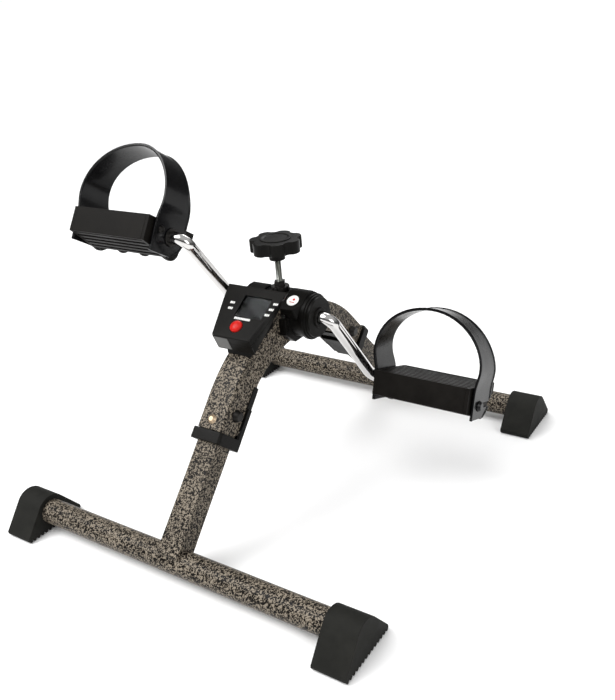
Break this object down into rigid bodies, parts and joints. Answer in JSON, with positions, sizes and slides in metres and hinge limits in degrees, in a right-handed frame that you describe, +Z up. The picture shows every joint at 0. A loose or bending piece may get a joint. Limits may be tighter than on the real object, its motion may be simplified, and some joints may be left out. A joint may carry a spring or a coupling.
{
  "type": "pedal exerciser",
  "caption": "Folding floor pedal exerciser: bent tube frame on crossbars with rubber feet, chrome cranks, strapped pedals, tension knob and a counter.",
  "frame": {"origin": "on the floor, under the middle of the hub", "axes": "+X to the user's right side of the picture along the axle, -Y to the console side, +Z up"},
  "size_m": [0.4, 0.466, 0.3574],
  "materials": {
    "hammered_paint": "semi-gloss hammered powder coat",
    "foot_rubber": "matt moulded rubber",
    "black_plastic": "fine-grained moulding",
    "knob_plastic": "fine-grained moulding",
    "pedal_plastic": "smooth moulding",
    "strap_vinyl": "polished vinyl",
    "chrome_rod": "polished",
    "zinc_steel": "clear zinc plated",
    "yellow_zinc": "yellow zinc plated",
    "black_steel": "black oxide",
    "nylon": "natural",
    "white_label": "printed film",
    "silver_label": "printed film",
    "screen_glass": "clear window",
    "display_grey": "liquid crystal face",
    "board_green": "solder mask",
    "red_plastic": "moulded"
  },
  "bodies": {
    "frame": {"arch": "hammered_paint", "hub_sleeve": "hammered_paint", "front_hinge_cover": "black_plastic", "front_fold_bolt": "black_steel", "front_fold_nut": "black_steel", "front_stop_screw": "yellow_zinc", "rear_hinge_cover": "black_plastic", "rear_fold_bolt": "black_steel", "rear_fold_nut": "black_steel", "rear_stop_screw": "yellow_zinc", "axle_bush_left": "nylon", "axle_bush_right": "nylon", "hub_housing_left": "black_plastic", "hub_housing_right": "black_plastic", "tension_block": "black_plastic", "flange_nut": "black_steel", "hub_badge": "white_label", "hub_ring_left": "zinc_steel", "hub_ring_right": "zinc_steel", "counter_sensor": "black_plastic", "console_lower_case": "black_plastic", "console_upper_case": "black_plastic", "screen_window": "screen_glass", "display_module": "display_grey", "circuit_board": "board_green", "button_cell": "zinc_steel", "console_label": "silver_label"},
    "front_leg": {"front_leg_tube": "hammered_paint", "front_crossbar": "hammered_paint", "front_foot_left": "foot_rubber", "front_foot_right": "foot_rubber"},
    "front_lock": {"front_lock_slide": "black_plastic"},
    "rear_leg": {"rear_leg_tube": "hammered_paint", "rear_crossbar": "hammered_paint", "rear_foot_left": "foot_rubber", "rear_foot_right": "foot_rubber"},
    "rear_lock": {"rear_lock_slide": "black_plastic"},
    "crank_set": {"crank_left": "chrome_rod", "crank_right": "chrome_rod", "axle_coupler": "zinc_steel", "counter_magnet": "zinc_steel", "spindle_washer_left": "black_steel", "spindle_washer_right": "black_steel"},
    "pedal_left": {"pedal_body_left": "pedal_plastic", "pedal_inner_plate_left": "pedal_plastic", "pedal_outer_plate_left": "pedal_plastic", "toe_strap_left": "strap_vinyl", "strap_screw_left": "black_steel", "strap_stud_left": "strap_vinyl"},
    "pedal_right": {"pedal_body_right": "pedal_plastic", "pedal_inner_plate_right": "pedal_plastic", "pedal_outer_plate_right": "pedal_plastic", "toe_strap_right": "strap_vinyl", "strap_screw_right": "black_steel", "strap_stud_right": "strap_vinyl"},
    "tension_pad": {"tension_pad": "nylon"},
    "tension_knob": {"tension_stud": "zinc_steel", "tension_knob": "knob_plastic"},
    "reset_button": {"reset_button": "red_plastic"}
  },
  "joints": [
    {"name": "crank_spin", "type": "hinge", "parent": "frame", "child": "crank_set", "pos_m": [0, 0, 0.1885], "axis": [1, 0, 0], "continuous": true},
    {"name": "pedal_spin_left", "type": "hinge", "parent": "crank_set", "child": "pedal_left", "pos_m": [-0.138, -0.05402, 0.27265], "axis": [1, 0, 0], "continuous": true},
    {"name": "pedal_spin_right", "type": "hinge", "parent": "crank_set", "child": "pedal_right", "pos_m": [0.138, 0.05402, 0.10435], "axis": [1, 0, 0], "continuous": true},
    {"name": "front_leg_fold", "type": "hinge", "parent": "frame", "child": "front_leg", "pos_m": [0, -0.10613, 0.12519], "axis": [1, 0, 0], "range_deg": [0, 90]},
    {"name": "rear_leg_fold", "type": "hinge", "parent": "frame", "child": "rear_leg", "pos_m": [0, 0.10613, 0.12519], "axis": [-1, 0, 0], "range_deg": [0, 50]},
    {"name": "front_lock_slide", "type": "slide", "parent": "front_leg", "child": "front_lock", "axis": [0, -0.682, -0.7314], "range_m": [0, 0.012]},
    {"name": "rear_lock_slide", "type": "slide", "parent": "rear_leg", "child": "rear_lock", "axis": [0, 0.682, -0.7314], "range_m": [0, 0.012]},
    {"name": "pad_lift", "type": "slide", "parent": "frame", "child": "tension_pad", "axis": [0, 0, 1], "range_m": [-0.0013, 0.0013]},
    {"name": "knob_turn", "type": "hinge", "parent": "tension_pad", "child": "tension_knob", "pos_m": [0, 0, 0.258], "axis": [0, 0, 1], "range_deg": [-360, 360]},
    {"name": "reset_press", "type": "slide", "parent": "frame", "child": "reset_button", "axis": [0, 0.536, -0.8442], "range_m": [0, 0.0015], "stiffness_N_per_m": 400, "springref_m": -0.002}
  ],
  "couplings": [
    {"joint": "pad_lift", "follows": "knob_turn", "m_per_rad": 0.00020213}
  ]
}
